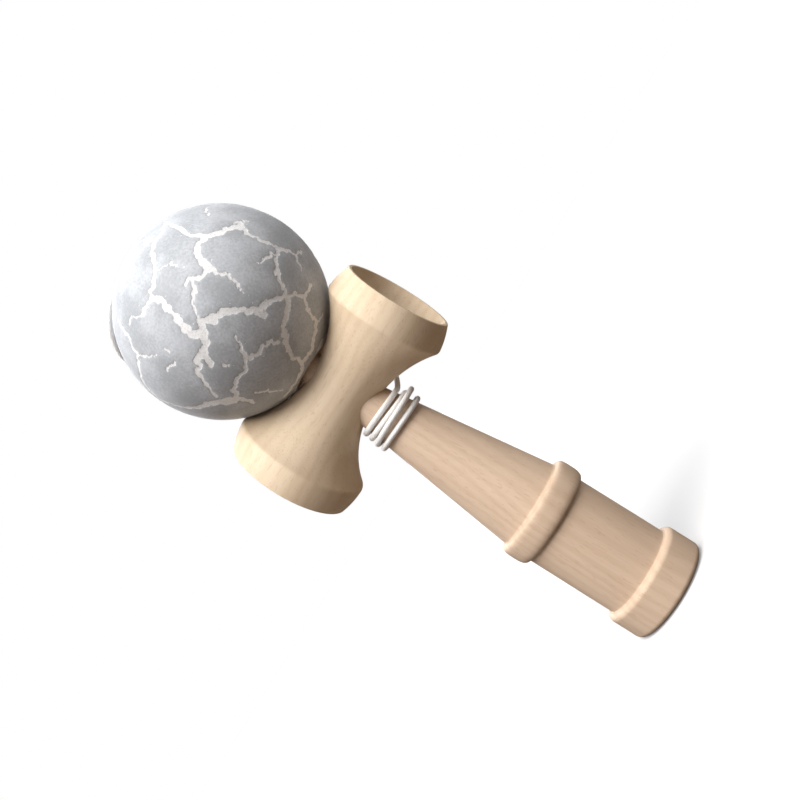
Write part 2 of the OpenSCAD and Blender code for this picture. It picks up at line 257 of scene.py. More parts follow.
# Route of the string from its knot in the handle, round the neck, over the ball and down to its other knot.
# The tail and the lead are smooth curves through their points.
# The winding is a helix on the neck's cone, clockwise from the small cup's side and down.
def stringPath():
    centre = np.array([0, 0, cross["z"]])
    top = np.array([0, 0, ball["z"] + ball["radius"]])
    turn = np.linspace(0, string["turns"], int(string["turns"] * string["perTurn"]))
    z = cross["z"] - string["drop"] - string["pitch"] * turn - string["tilt"] * np.cos(fullTurn * turn)
    z += np.interp(turn, *np.array(string["slip"]).T)
    slope = (neck["topR"] - neck["lowR"]) / (neck["topZ"] - neck["lowZ"])
    r = neck["lowR"] + slope * (z - neck["lowZ"]) + string["layGap"] + string["diameter"] / 2
    r += np.interp(turn, *np.array(string["loose"]).T)
    wound = np.stack([r * np.cos(fullTurn * turn), -r * np.sin(fullTurn * turn), z], -1)
    onward = [end + string["diameter"] * (end - near) / np.linalg.norm(end - near)
              for near, end in ((wound[1], wound[0]), (wound[-2], wound[-1]))]
    lie = ball["radius"] + string["diameter"] / 2 + string["ballGap"]
    laid = lie * directions(string["laid"]) + [0, 0, ball["z"]]
    bore = [[0, string["boreY"], cross["z"]], [0, cross["waist"], cross["z"]]]
    sink = [top - [0, 0, string["leadEnd"]], top - [0, 0, 2 * string["leadEnd"]]]
    tail = np.vstack([bore, centre + np.array(string["tail"]), onward[1]])
    lead = np.vstack([onward[0], centre + np.array(string["lead"]), laid,
                      top + np.array(string["top"]), sink])
    tail, lead = (smoothCurve(part, string["spanSteps"]) for part in (tail, lead))
    return np.vstack([[0, string["knotY"], cross["z"]], tail, wound[::-1], lead, [0, 0, string["knotZ"]]])


# Radius of the braided cord: two families of grooves cross, and the crowns stand up between them
def braidRadius(along, sides):
    around = fullTurn * string["strands"] * np.arange(sides) / sides
    plait = fullTurn * string["plait"] * along[:, None]
    crown = np.abs(np.sin(around + plait) * np.sin(around - plait)) ** string["crownPower"]
    return string["diameter"] / 2 + string["crownRise"] - string["groove"] * (1 - crown)


# A tube along the route with the braid's radius, in rows that give every crown a few points
def makeString():
    sides = 2 * string["strands"] * string["perCrown"]
    rowGap = 1 / (2 * string["plait"] * string["perCrown"])  # in diameters
    path = evenPath(stringPath(), rowGap * string["diameter"], string["softening"])
    far = np.arange(len(path)) * rowGap  # v counts diameters
    grid = tubeGrid(path, braidRadius(far, sides), sides)
    piece = gridPiece("string", grid, poles=(path[0], path[-1]), along=far)
    length = float(np.linalg.norm(np.diff(path, axis=0), axis=1).sum())
    return piece, path, length


# Overhand knot pulled tight: a trefoil curve, squeezed to the knot's length
knot = {"spread": 0.5, "height": 1.05, "radius": 0.62, "points": 180, "sides": 12, "handleY": -2.8}


def makeKnot(name, axis, centre):
    t = np.arange(knot["points"]) * fullTurn / knot["points"]
    x = knot["spread"] * (np.sin(t) + 2 * np.sin(2 * t))
    y = knot["spread"] * (np.cos(t) - 2 * np.cos(2 * t))
    z = -knot["height"] * np.sin(3 * t)
    path = np.stack([x, y, z] if axis == "Z" else [x, z, y], -1) + np.array(centre)
    ahead = np.roll(path, -1, axis=0) - np.roll(path, 1, axis=0)
    ahead /= np.linalg.norm(ahead, axis=1)[:, None]
    outward = path - np.array(centre)
    outward -= (outward * ahead).sum(1)[:, None] * ahead
    outward /= np.linalg.norm(outward, axis=1)[:, None]
    grid = path[:, None] + knot["radius"] * circles(outward, np.cross(ahead, outward), knot["sides"])
    length = np.linalg.norm(np.roll(path, -1, axis=0) - path, axis=1).sum() / string["diameter"]
    return gridPiece(name, grid, closed=True, along=np.linspace(0, length, len(path)))


stringPiece, route, stringLength = makeString()
ballKnot = makeKnot("ballKnot", "Z", (0, 0, string["knotZ"]))
handleKnot = makeKnot("handleKnot", "Y", (0, knot["handleY"], cross["z"]))
print("string: %.1f mm" % stringLength)

handle = {
    "columns": 192, "step": 0.7, "cupSteps": 30, "ringSteps": 61, "edgeSteps": 14, "tipSteps": 12,
    "poleAngle": 89.5, "tipFlat": (1, 0.05),  # where the cup and the tip's flat end, short of the axis
    "cupMouth": 11.9, "cupDepth": 6, "lipEdge": 0.25,
    "base": 15.1, "baseHeight": 10.6, "baseEdge": 1.8, "baseShoulder": 1.7, "cove": 0.5,
    "grip": 13.05, "ringLow": 37.4, "ringTop": 45.1, "ring": 14.95, "ringUpper": 0.5, "ringLower": 0.7,
    "tenon": 4.8, "spikeLow": 114.31, "tip": 2.4, "tipZ": 148.42, "tipEdge": 1.6,
}


# Profile of the handle, from the middle of its base cup out, up and in to the tip of its spike
def makeHandle():
    h = handle
    dish = (h["cupMouth"] ** 2 + h["cupDepth"] ** 2) / (2 * h["cupDepth"])
    reach = math.degrees(math.asin(h["cupMouth"] / dish))
    cup = arc((0, h["cupDepth"] - dish), dish, h["poleAngle"], 90 - reach, h["cupSteps"])
    lip = (h["cupMouth"], 0)
    low, high = (h["base"], 0), (h["base"], h["baseHeight"])
    inner = (h["grip"], h["baseHeight"])
    swell = np.linspace(0, math.pi, h["ringSteps"])
    foot = np.where(swell < math.pi / 2, h["grip"], neck["lowR"])
    roundness = np.where(swell < math.pi / 2, h["ringLower"], h["ringUpper"])
    rise = np.sign(np.cos(swell)) * np.abs(np.cos(swell)) ** roundness
    bulge = np.stack([foot + (h["ring"] - foot) * np.abs(np.sin(swell)) ** roundness,
                      h["ringLow"] + (h["ringTop"] - h["ringLow"]) / 2 * (1 - rise)], -1)
    seat, tenon = (neck["topR"], neck["topZ"]), (h["tenon"], neck["topZ"])
    root, tip = (h["tenon"], h["spikeLow"]), (h["tip"], h["tipZ"])
    flat = [(radius, h["tipZ"]) for radius in h["tipFlat"]]
    profile = profileOf(
        cup[:-2], rounded(cup[-3], lip, low, h["lipEdge"]),
        rounded(lip, low, high, h["baseEdge"], h["edgeSteps"]),
        rounded(low, high, inner, h["baseShoulder"], h["edgeSteps"]),
        rounded(high, inner, bulge[0], h["cove"]),
        bulge, run((neck["lowR"], neck["lowZ"]), seat, 2), run(tenon, root, 2),
        rounded(root, tip, (0, h["tipZ"]), h["tipEdge"], h["tipSteps"]), run(*flat, 3), step=h["step"])
    return gridPiece("handleWood", turned(profile, h["columns"]),
                     poles=((0, 0, h["cupDepth"]), (0, 0, h["tipZ"])))


crosspiece = {
    "columns": 192, "step": 0.6, "lip": 0.9, "lipEdge": 0.22, "bellEdge": 1.6, "crown": 0.3,
    "waistSteps": 40, "bevelSteps": 15, "bellSteps": 10, "cupSteps": 40, "poleAngle": 89.5,
    "big": {"rim": 18.1, "bell": 19.4, "bevel": 7.9, "depth": 9.5},
    "small": {"rim": 15.6, "bell": 17.65, "bevel": 7.8, "depth": 8.5},
    "stringHole": 1.3, "holeInner": 5, "holeOuter": 14, "holeSides": 32,
}


# Profile of one arm from the waist out: a hollow arc, a rounded bell, a crowned bevel, the lip and the dish
def armProfile(arm):
    c = crosspiece
    bellX = cross["armLength"] - arm["bevel"]
    rise = arm["bell"] - cross["waist"]
    hollow = (bellX ** 2 + rise ** 2) / (2 * rise)
    x = np.linspace(0, bellX, c["waistSteps"])
    waist = np.stack([cross["waist"] + hollow - np.sqrt(hollow ** 2 - x ** 2), x], -1)
    bell, rim = np.array([arm["bell"], bellX]), np.array([arm["rim"], cross["armLength"]])
    share = np.linspace(0, 1, c["bevelSteps"])[:, None]
    outward = np.array([rim[1] - bell[1], bell[0] - rim[0]]) / np.linalg.norm(rim - bell)
    bevel = bell + (rim - bell) * share + 4 * c["crown"] * share * (1 - share) * outward
    mouth = arm["rim"] - c["lip"]
    dish = (mouth ** 2 + arm["depth"] ** 2) / (2 * arm["depth"])
    reach = math.degrees(math.asin(mouth / dish))
    middle = (0, cross["armLength"] - arm["depth"] + dish)
    cup = arc(middle, dish, reach - 90, -c["poleAngle"], c["cupSteps"])
    lip = (mouth, cross["armLength"])
    turn = rounded(waist[-4], bell, bevel[4], c["bellEdge"], c["bellSteps"])
    edges = [rounded(bevel[-3], rim, lip, c["lipEdge"]), rounded(rim, lip, cup[2], c["lipEdge"])]
    return np.vstack([waist[:-3], turn, bevel[4:-2], *edges, cup[2:]])  # cut short at the rounded corners


# The string's hole is cut with a plain cylinder, because it crosses the turning axis
def cutHole(piece, radius, sides, start, stop):
    angle = np.arange(sides) * fullTurn / sides
    circle = np.stack([radius * np.sin(angle), np.zeros(sides), radius * np.cos(angle)], -1)
    grid = circle[None] + np.array([start, stop])[:, None]
    cutter = gridPiece("cutter", grid, poles=(start, stop))
    cut = piece.modifiers.new("hole", "BOOLEAN")
    cut.object, cut.operation, cut.solver = cutter, "DIFFERENCE", "EXACT"
    bpy.context.view_layer.update()
    cutPiece = piece.evaluated_get(bpy.context.evaluated_depsgraph_get())
    mesh = bpy.data.meshes.new_from_object(cutPiece)
    piece.modifiers.clear()
    piece.data = mesh
    bpy.data.objects.remove(cutter)


# Both arms in one profile, turned about the crosspiece's own axis
def makeCrosspiece():
    c = crosspiece
    small, big = armProfile(c["small"]), armProfile(c["big"]) * [1, -1]
    profile = profileOf(big[::-1], small, step=c["step"])
    dishes = [(side * (cross["armLength"] - c[cup]["depth"]), 0, cross["z"])
              for side, cup in ((-1, "big"), (1, "small"))]
    grid = turned(profile, c["columns"], "X", (0, 0, cross["z"]))
    piece = gridPiece("crosspieceWood", grid, poles=dishes)
    start, stop = ((0, c[end], cross["z"]) for end in ("holeInner", "holeOuter"))
    cutHole(piece, c["stringHole"], c["holeSides"], start, stop)
    return piece


spikeHole = {
    "radius": 6.9, "bevel": 0.5, "depth": 46.3, "slope": 59, "edge": 0.2,
    "stringHole": 1.3, "topBevel": 2.5,
}


# Profile of the ball, once round its wall: up the outside, in at the string hole and down the bore
def ballProfile():
    b, s = ball["radius"], spikeHole
    mouth = s["radius"] + s["bevel"]
    mouthZ = -math.sqrt(b ** 2 - mouth ** 2)
    lean = b - s["topBevel"] - s["stringHole"]
    topZ = (lean + math.sqrt(2 * b ** 2 - lean ** 2)) / 2
    topR = topZ - lean
    low, high = (math.degrees(math.atan2(z, r)) for z, r in ((mouthZ, mouth), (topZ, topR)))
    skin = arc((0, 0), b, low + ball["edgeTrim"], high - ball["edgeTrim"], ball["rows"])
    boreTop = s["depth"] - b
    point = boreTop + (s["radius"] - s["stringHole"]) / math.tan(math.radians(s["slope"]))
    inner = [(s["stringHole"], b - s["topBevel"]), (s["stringHole"], point), (s["radius"], boreTop),
             (s["radius"], mouthZ + s["bevel"])]
    corners = [skin[-1], (topR, topZ), *inner, (mouth, mouthZ), skin[0]]
    edges = [rounded(*corners[i : i + 3], s["edge"]) for i in range(len(corners) - 2)]
    return np.vstack([skin, profileOf(*edges, step=ball["wallStep"])]), len(skin)


# Cracks in the paint, as width in millimetres at each end and a route of longitude and latitude in degrees
cracks = {
    "seed": 11, "jag": 0.32, "pieces": 6, "widthShake": (0.6, 1.35), "none": 9.0,
    "sunk": 0.1, "bank": 0.8,  # depth of a crack in the paint, and how far its bank reaches
    # round the back, away from the routed side: scattered sites, and how their borders wander at three scales
    "routed": (74.5, -296.3, -64.06), "backFrom": 0.27, "backFade": 0.1, "sites": 46, "siteShake": 0.11,
    "wanderScale": (6.0, 19.0, 48.0), "wander": (0.026, 0.011, 0.0045), "wavesEach": 5,
    # slow waves in the width, as scale and phase, and the widths that they give; below zero a crack closes
    "widthWaves": ((4, 1), (6, 0), (3, 2)), "widthAt": (-1.5, -0.8, 2), "widths": (-0.6, 0.55, 2.0),
    "routes": [
        ((1.0, 1.3), [(322, 49), (312, 30), (313, 18)]),
        ((1.5, 1.5), [(313, 18), (321, 12), (331, 7)]),
        ((0.8, 0.7), [(331, 7), (327, 3), (329, -4), (331, -10), (333, -14)]),
        ((1.0, 1.1), [(322, 49), (310, 44), (299, 43), (291, 39), (287, 33), (277, 27), (270, 23)]),
        ((1.2, 1.8), [(270, 23), (273, 17), (271, 15), (270, 7), (267, 1), (267, -5), (269, -8)]),
        ((1.0, 0.5), [(270, 23), (265, 24), (259, 24), (252, 30), (247, 30)]),
        ((1.4, 1.2), [(313, 18), (308, 18), (303, 16), (300, 10), (298, 5)]),
        ((1.1, 0.5), [(298, 5), (299, 0), (301, -4), (300, -10), (298, -14)]),
        ((0.9, 0.6), [(298, 5), (291, 8), (290, 10), (286, 11)]),
        ((0.8, 0.5), [(290, 10), (286, 6), (281, 4), (275, -3)]),
        ((1.9, 1.4), [(274, -5), (279, -10), (285, -11), (290, -18), (294, -24), (295, -30)]),
        ((1.4, 0.9), [(294, -24), (300, -27), (303, -27), (312, -32), (325, -41), (338, -39)]),
        ((0.9, 1.0), [(333, -14), (326, -16), (320, -21), (316, -27), (313, -33)]),
        ((1.4, 0.9), [(313, -33), (306, -39), (300, -40), (294, -45), (287, -50), (284, -56), (284, -66)]),
        ((1.0, 1.3), [(284, -65), (279, -70), (256, -72), (231, -70), (220, -67)]),
        ((1.1, 1.6), [(325, -41), (322, -47), (327, -57), (317, -62), (305, -68), (288, -68)]),
        ((0.6, 0.4), [(327, -57), (342, -57)]),
        ((0.6, 0.8), [(316, -12), (322, -13), (328, -15), (334, -15), (338, -18), (341, -23)]),
        ((1.9, 1.2), [(273, -7), (268, -11), (262, -12), (259, -15), (256, -19)]),
        ((1.4, 0.9), [(258, -12), (251, -14), (245, -19), (236, -27)]),
        ((0.6, 1.1), [(276, -23), (271, -31), (267, -34), (260, -36), (253, -33), (245, -35), (237, -38)]),
        ((1.0, 0.7), [(269, -33), (273, -38), (280, -37), (285, -40), (287, -45)]),
        ((1.4, 2.6), [(217, -16), (227, -25), (234, -35)]),
        ((2.4, 0.8), [(234, -35), (237, -40), (231, -48)]),
        ((0.6, 0.5), [(243, -46), (244, -53), (240, -63)]),
        ((0.7, 1.0), [(238, 40), (240, 30), (237, 18), (231, 17), (221, 13), (213, 9), (207, 3), (213, -8),
                      (217, -16)]),
        ((0.6, 0.4), [(236, 18), (241, 12), (246, 8)]),
        ((0.6, 0.5), [(339, 32), (332, 26)]),
        ((0.5, 0.4), [(331, 11), (337, 7)]),
        ((0.5, 0.4), [(285, 29), (291, 24), (292, 17)]),
        ((0.6, 0.7), [(241, 0), (249, -3)]),
        ((4.2, 0.4), [(333, -75), (343, -73), (3, -67)]),
        ((2.6, 0.4), [(221, -76), (207, -75), (193, -73)]),
        ((0.9, 0.5), [(348, -22), (338, -24), (337, -31)]),
        ((0.4, 0.6), [(263, 62), (278, 46)]),
        ((0.4, 0.3), [(252, 4), (252, 2)]),
        ((0.7, 0.5), [(259, -25), (260, -26)]),
        ((0.5, 0.7), [(299, 66), (301, 49)]),
    ],
}


# How far each point lies from the edge of the nearest routed crack, in millimetres, below zero inside it.
# A route's points are shaken off its line, and its width changes from one end to the other.
def routedCracks(points, rng):
    field = np.full(len(points), cracks["none"])
    for (first, last), lonLat in cracks["routes"]:
        way = directions(lonLat) * ball["radius"]
        n = cracks["pieces"]
        t = np.arange((len(way) - 1) * n + 1) / n
        i = np.minimum(t.astype(int), len(way) - 2)
        line = way[i] + (way[i + 1] - way[i]) * (t - i)[:, None]
        line += rng.normal(0, cracks["jag"], line.shape)
        line *= ball["radius"] / np.linalg.norm(line, axis=1)[:, None]
        width = np.interp(t, [0, t[-1]], [first, last]) * rng.uniform(*cracks["widthShake"], len(t))
        for k in range(len(line) - 1):
            a, d = line[k], line[k + 1] - line[k]
            part = np.clip(((points - a) @ d) / (d @ d), 0, 1)
            half = (width[k] + (width[k + 1] - width[k]) * part) / 2
            field = np.minimum(field, np.linalg.norm(points - a - part[:, None] * d, axis=1) - half)
    return field


# The same for the cracks round the back: the borders between scattered sites, where the nearest and second
# nearest site are equally far. The sites lie on an even spiral and are shaken a little.
def backCracks(points, rng):
    count = cracks["sites"]
    k = np.arange(count) + 0.5
    polar, lon = np.arccos(1 - 2 * k / count), np.pi * (1 + 5 ** 0.5) * k
    sites = np.stack([np.cos(lon) * np.sin(polar), np.sin(lon) * np.sin(polar), np.cos(polar)], -1)
    sites += rng.normal(0, cracks["siteShake"], sites.shape)
    sites /= np.linalg.norm(sites, axis=1)[:, None]
    unit = points / ball["radius"]
    scales, amounts = (np.repeat(cracks[k], cracks["wavesEach"]) for k in ("wanderScale", "wander"))
    waves = rng.normal(0, 1, (len(scales), 3)) * scales[:, None]
    shift = rng.normal(0, 1, (len(scales), 3)) * amounts[:, None]
    shaken = unit + np.sin(unit @ waves.T + rng.uniform(0, fullTurn, len(scales))) @ shift
    shaken /= np.linalg.norm(shaken, axis=1)[:, None]
    nearest = np.argpartition(-shaken @ sites.T, 1, axis=1)[:, :2]
    one, two = sites[nearest[:, 0]], sites[nearest[:, 1]]
    off = np.abs(((shaken - (one + two) / 2) * (two - one)).sum(1))
    border = off / np.linalg.norm(two - one, axis=1) * ball["radius"]
    slow = sum(np.sin(unit @ rng.normal(0, scale, 3) + phase) for scale, phase in cracks["widthWaves"])
    width = np.interp(slow, cracks["widthAt"], cracks["widths"])
    facing = unit @ (np.array(cracks["routed"]) / np.linalg.norm(cracks["routed"]))
    back = np.clip((cracks["backFrom"] - facing) / cracks["backFade"], 0, 1)  # 1 away from the routed side
    return border - width / 2 + (1 - back) * cracks["none"]


# The ball's surface of revolution, drawn in towards its centre where a crack runs
def makeBall():
    profile, skinRows = ballProfile()
    grid = turned(profile, ball["columns"])
    rng = np.random.default_rng(cracks["seed"])
    skin = grid[:skinRows].reshape(-1, 3)
    field = np.full(grid.shape[:2], cracks["none"])
    field[:skinRows] = np.minimum(routedCracks(skin, rng), backCracks(skin, rng)).reshape(skinRows, -1)
    sunk = cracks["sunk"] * np.clip(0.5 - field / cracks["bank"], 0, 1)
    grid = grid * (1 - sunk / ball["radius"])[..., None]
    piece = gridPiece("ballPainted", grid + [0, 0, ball["z"]], closed=True)
    bare = np.zeros(grid.shape[:2])
    bare[skinRows + ball["paintedRows"] :] = 1
    bare[-ball["fadeRows"] :] = np.linspace(1, 0, ball["fadeRows"])[:, None]
    for name, values in (("crackGap", field), ("bareWood", bare)):
        attribute = piece.data.attributes.new(name, "FLOAT", "POINT")
        attribute.data.foreach_set("value", values.astype(np.float32).ravel())
    return piece


bead = {"z": 161.62, "radius": 3.8, "hole": 1.1, "edge": 0.35, "columns": 64, "rows": 30}


# Profile of the bead, once round its wall
def makeBead():
    b = bead
    lift = math.degrees(math.acos(b["hole"] / b["radius"]))
    skin = arc((0, 0), b["radius"], -lift, lift, b["rows"])
    low, high = skin[0], skin[-1]
    wall = np.vstack([rounded(skin[-3], high, low, b["edge"]), rounded(high, low, skin[2], b["edge"])])
    profile = np.vstack([skin[3:-3], wall])  # the skin ends short of its rounded edges
    return gridPiece("beadWood", turned(profile, b["columns"], "Z", (0, 0, b["z"])), closed=True)


handlePiece, crossPiece, ballPiece, beadPiece = makeHandle(), makeCrosspiece(), makeBall(), makeBead()
faceCounts = [len(p.data.polygons) for p in (handlePiece, crossPiece, ballPiece, beadPiece)]
print("turned pieces:", faceCounts, "faces")


# Short forms for nodes: a term is a socket to link or a value to set
def addNode(tree, kind, values=None, **settings):
    node = tree.nodes.new("ShaderNode" + kind)
    for key, value in settings.items():
        setattr(node, key, value)
    for key, value in (values or {}).items():
        node.inputs[key].default_value = value
    return node


def feed(tree, socket, term):
    if isinstance(term, bpy.types.NodeSocket):
        tree.links.new(term, socket)
    else:
        socket.default_value = term


def calc(tree, operation, *terms):
    node = addNode(tree, "Math", operation=operation)
    for socket, term in zip(node.inputs, terms):
        feed(tree, socket, term)
    return node.outputs[0]


inMillimetres = (1000, 1000, 1000)


def stretched(tree, vector, factors):
    node = addNode(tree, "VectorMath", operation="MULTIPLY")
    feed(tree, node.inputs[0], vector)
    node.inputs[1].default_value = factors
    return node.outputs[0]


def noise(tree, vector, scale, detail, roughness):
    node = addNode(tree, "TexNoise", {"Scale": scale, "Detail": detail, "Roughness": roughness})
    feed(tree, node.inputs["Vector"], vector)
    return node.outputs["Fac"]


def grainNoise(tree, vector, scales, detail, roughness):
    return noise(tree, stretched(tree, vector, scales), 1.0, detail, roughness)


# Smooth step from 0 to 1 between two values
def ease(tree, value, low, high):
    node = addNode(tree, "MapRange", {"From Min": low, "From Max": high}, interpolation_type="SMOOTHSTEP")
    feed(tree, node.inputs["Value"], value)
    return node.outputs["Result"]


def mixColour(tree, share, a, b):
    node = addNode(tree, "Mix", data_type="RGBA", clamp_factor=True)
    for i, term in ((0, share), (6, a), (7, b)):
        feed(tree, node.inputs[i], term)
    return node.outputs[2]


def bumped(tree, height, distance, strength):
    node = addNode(tree, "Bump", {"Strength": strength, "Distance": distance})
    tree.links.new(height, node.inputs["Height"])
    return node.outputs["Normal"]


def newGroup(name, inputs, outputs):
    tree = bpy.data.node_groups.new(name, "ShaderNodeTree")
    for kind, sockets in (("INPUT", inputs), ("OUTPUT", outputs)):
        for label, shape in sockets:
            tree.interface.new_socket(name=label, in_out=kind, socket_type="NodeSocket" + shape)
    return tree, tree.nodes.new("NodeGroupInput"), tree.nodes.new("NodeGroupOutput")


# Noises are scales for a millimetre across and along the grain, detail and roughness.
# The shares are how much each counts in the tone.
beech = {
    "slow": ((0.07, 0.07, 0.014), 3.0, 0.5), "slowShare": 0.9,
    "fibre": ((2.6, 2.6, 0.09), 3.0, 0.6), "fibreShare": 0.34, "fibreRough": 0.18, "rough": 0.44,
    "wander": ((0.05, 0.05, 0.012), 2.0, 0.5), "wanderBy": 14.0,
    "heart": (41, 27, 0), "ringPower": 1.6, "ringShare": 0.16, "toneRange": (0.42, 0.98),
    "spots": ((2.1, 2.1, 0.34), 1.0, 0.5), "spotRange": (0.6, 0.72), "fleckShare": 0.3, "fleckDepth": 0.5,
}


# Beech: faint growth rings round a far heart, long fibres and short dark flecks, all along the group's Z
def makeBeechGrain():
    tree, given, result = newGroup(
        "beechGrain",
        [("Vector", "Vector"), ("Pale", "Color"), ("Deep", "Color"), ("Fleck", "Color"),
         ("Ring Gap", "Float")],
        [("Color", "Color"), ("Roughness", "Float"), ("Height", "Float")])
    inMm = stretched(tree, given.outputs["Vector"], inMillimetres)
    slow, wander, fibre, spots = (
        grainNoise(tree, inMm, *beech[name]) for name in ("slow", "wander", "fibre", "spots"))
    heart = addNode(tree, "VectorMath", operation="ADD")
    feed(tree, heart.inputs[0], stretched(tree, inMm, (1, 1, 0)))
    heart.inputs[1].default_value = beech["heart"]
    away = addNode(tree, "VectorMath", operation="LENGTH")
    feed(tree, away.inputs[0], heart.outputs[0])
    spread = calc(tree, "ADD", away.outputs["Value"], calc(tree, "MULTIPLY", wander, beech["wanderBy"]))
    rings = calc(tree, "DIVIDE", spread, given.outputs["Ring Gap"])
    wave = calc(tree, "SINE", calc(tree, "MULTIPLY", rings, fullTurn))
    ring = calc(tree, "POWER", calc(tree, "MULTIPLY_ADD", wave, 0.5, 0.5), beech["ringPower"])
    fleck = ease(tree, spots, *beech["spotRange"])
    slowTone, ringTone, fibreTone = (calc(tree, "MULTIPLY", part, beech[share]) for part, share in (
        (slow, "slowShare"), (ring, "ringShare"), (fibre, "fibreShare")))
    tone = calc(tree, "ADD", slowTone, calc(tree, "ADD", ringTone, fibreTone))
    depth = ease(tree, tone, *beech["toneRange"])
    wood = mixColour(tree, depth, given.outputs["Pale"], given.outputs["Deep"])
    fleckTone = calc(tree, "MULTIPLY", fleck, beech["fleckShare"])
    flecked = mixColour(tree, fleckTone, wood, given.outputs["Fleck"])
    rough = calc(tree, "MULTIPLY_ADD", fibre, beech["fibreRough"], beech["rough"])
    height = calc(tree, "SUBTRACT", fibre, calc(tree, "MULTIPLY", fleck, beech["fleckDepth"]))
    for name, found in (("Color", flecked), ("Roughness", rough), ("Height", height)):
        tree.links.new(found, result.inputs[name])
    return tree


smudges = {"noise": (1.0, 4.0, 0.6), "range": (0.42, 0.72)}


# Soft smudges from handling: a mask that dulls and dims a surface in patches
def makeHandling():
    tree, given, result = newGroup("handling", [("Vector", "Vector"), ("Size", "Float")], [("Mask", "Float")])
    scaled = addNode(tree, "VectorMath", operation="SCALE")
    tree.links.new(given.outputs["Vector"], scaled.inputs[0])
    tree.links.new(given.outputs["Size"], scaled.inputs["Scale"])
    patches = noise(tree, scaled.outputs[0], *smudges["noise"])
    tree.links.new(ease(tree, patches, *smudges["range"]), result.inputs["Mask"])
    return tree


beechGrain, handling = makeBeechGrain(), makeHandling()


def newMaterial(name):
    material = bpy.data.materials.new(name)
    material.use_nodes = True
    tree = material.node_tree
    tree.nodes.clear()
    shader = addNode(tree, "BsdfPrincipled")
    output = addNode(tree, "OutputMaterial")
    tree.links.new(shader.outputs[0], output.inputs["Surface"])
    return material, tree, shader


def shade(tree, shader, colour, rough, normal):
    for name, found in (("Base Color", colour), ("Roughness", rough), ("Normal", normal)):
        tree.links.new(found, shader.inputs[name])


def placeGroup(tree, group, values):
    node = addNode(tree, "Group")
    node.node_tree = group
    for key, value in values.items():
        feed(tree, node.inputs[key], value)
    return node.outputs


handleWood = {
    "pale": (0.635, 0.486, 0.362, 1), "deep": (0.535, 0.392, 0.282, 1), "fleck": (0.43, 0.28, 0.18, 1),
    "ringGap": 3.1, "turn": (0, 0, 0.4),
}
crossWood = {
    "pale": (0.785, 0.64, 0.475, 1), "deep": (0.68, 0.525, 0.36, 1), "fleck": (0.50, 0.35, 0.23, 1),
    "ringGap": 3.6, "turn": (0, math.pi / 2, 0),
}
beadWood = {
    "pale": (0.66, 0.47, 0.28, 1), "deep": (0.45, 0.29, 0.15, 1), "fleck": (0.28, 0.16, 0.08, 1),
    "ringGap": 1.6, "turn": (0, 0, 0),
}
oiled = {
    "smudgeSize": 55.0, "dimming": 0.16, "dulling": 0.08, "specular": 0.28,
    "bump": 0.00008, "bumpStrength": 0.5,
}


# Bare oiled beech, with its grain turned to the piece's length
def woodMaterial(name, look):
    material, tree, shader = newMaterial(name)
    place = addNode(tree, "TexCoord").outputs["Object"]
    turnTo = addNode(tree, "Mapping", {"Rotation": look["turn"]})
    tree.links.new(place, turnTo.inputs["Vector"])
    grain = placeGroup(tree, beechGrain, {
        "Vector": turnTo.outputs[0], "Pale": look["pale"], "Deep": look["deep"], "Fleck": look["fleck"],
        "Ring Gap": look["ringGap"]})
    smudge = placeGroup(tree, handling, {"Vector": place, "Size": oiled["smudgeSize"]})["Mask"]
    dimmed = mixColour(tree, calc(tree, "MULTIPLY", smudge, oiled["dimming"]), grain["Color"], look["deep"])
    rough = calc(tree, "MULTIPLY_ADD", smudge, oiled["dulling"], grain["Roughness"])
    normal = bumped(tree, grain["Height"], oiled["bump"], oiled["bumpStrength"])
    shade(tree, shader, dimmed, rough, normal)
    shader.inputs["Specular IOR Level"].default_value = oiled["specular"]
    return material


# Noises are scale for a millimetre, detail and roughness
paint = {
    "pale": (0.575, 0.60, 0.64, 1), "deep": (0.395, 0.415, 0.44, 1), "base": (0.88, 0.88, 0.89, 1),
    "worn": (0.68, 0.685, 0.69, 1), "wood": (0.55, 0.40, 0.26, 1),
    # ragged edges of the cracks, coarse and fine, and chips beside them
    "ragged": 0.6, "raggedNoise": (0.9, 3.0, 0.5), "fine": 0.55, "fineNoise": (2.8, 3.0, 0.65),
    "splitRange": (0.13, -0.09),
    "chipNoise": (1.25, 1.0, 0.5), "chipRange": (0.735, 0.77), "chipReach": (2.4, 0.8), "chipShare": 0.85,
    # clouds and specks in the grey, and wear in the white
    "cloudNoise": (0.11, 3.0, 0.5), "cloudRange": (0.32, 0.68), "cloudShare": 0.3,
    "speckNoise": (1.5, 3.0, 0.7), "speckShare": 0.9, "toneRange": (0.25, 0.85),
    "wornNoise": (2.2, 3.0, 0.7), "wornRange": (0.45, 0.7),
    "smudgeSize": 80.0, "dulling": 0.10, "rough": 0.47, "whiteRough": 0.2, "specular": 0.22,
    "speckHeight": 0.25, "bump": 0.00012, "bumpStrength": 0.7,
}


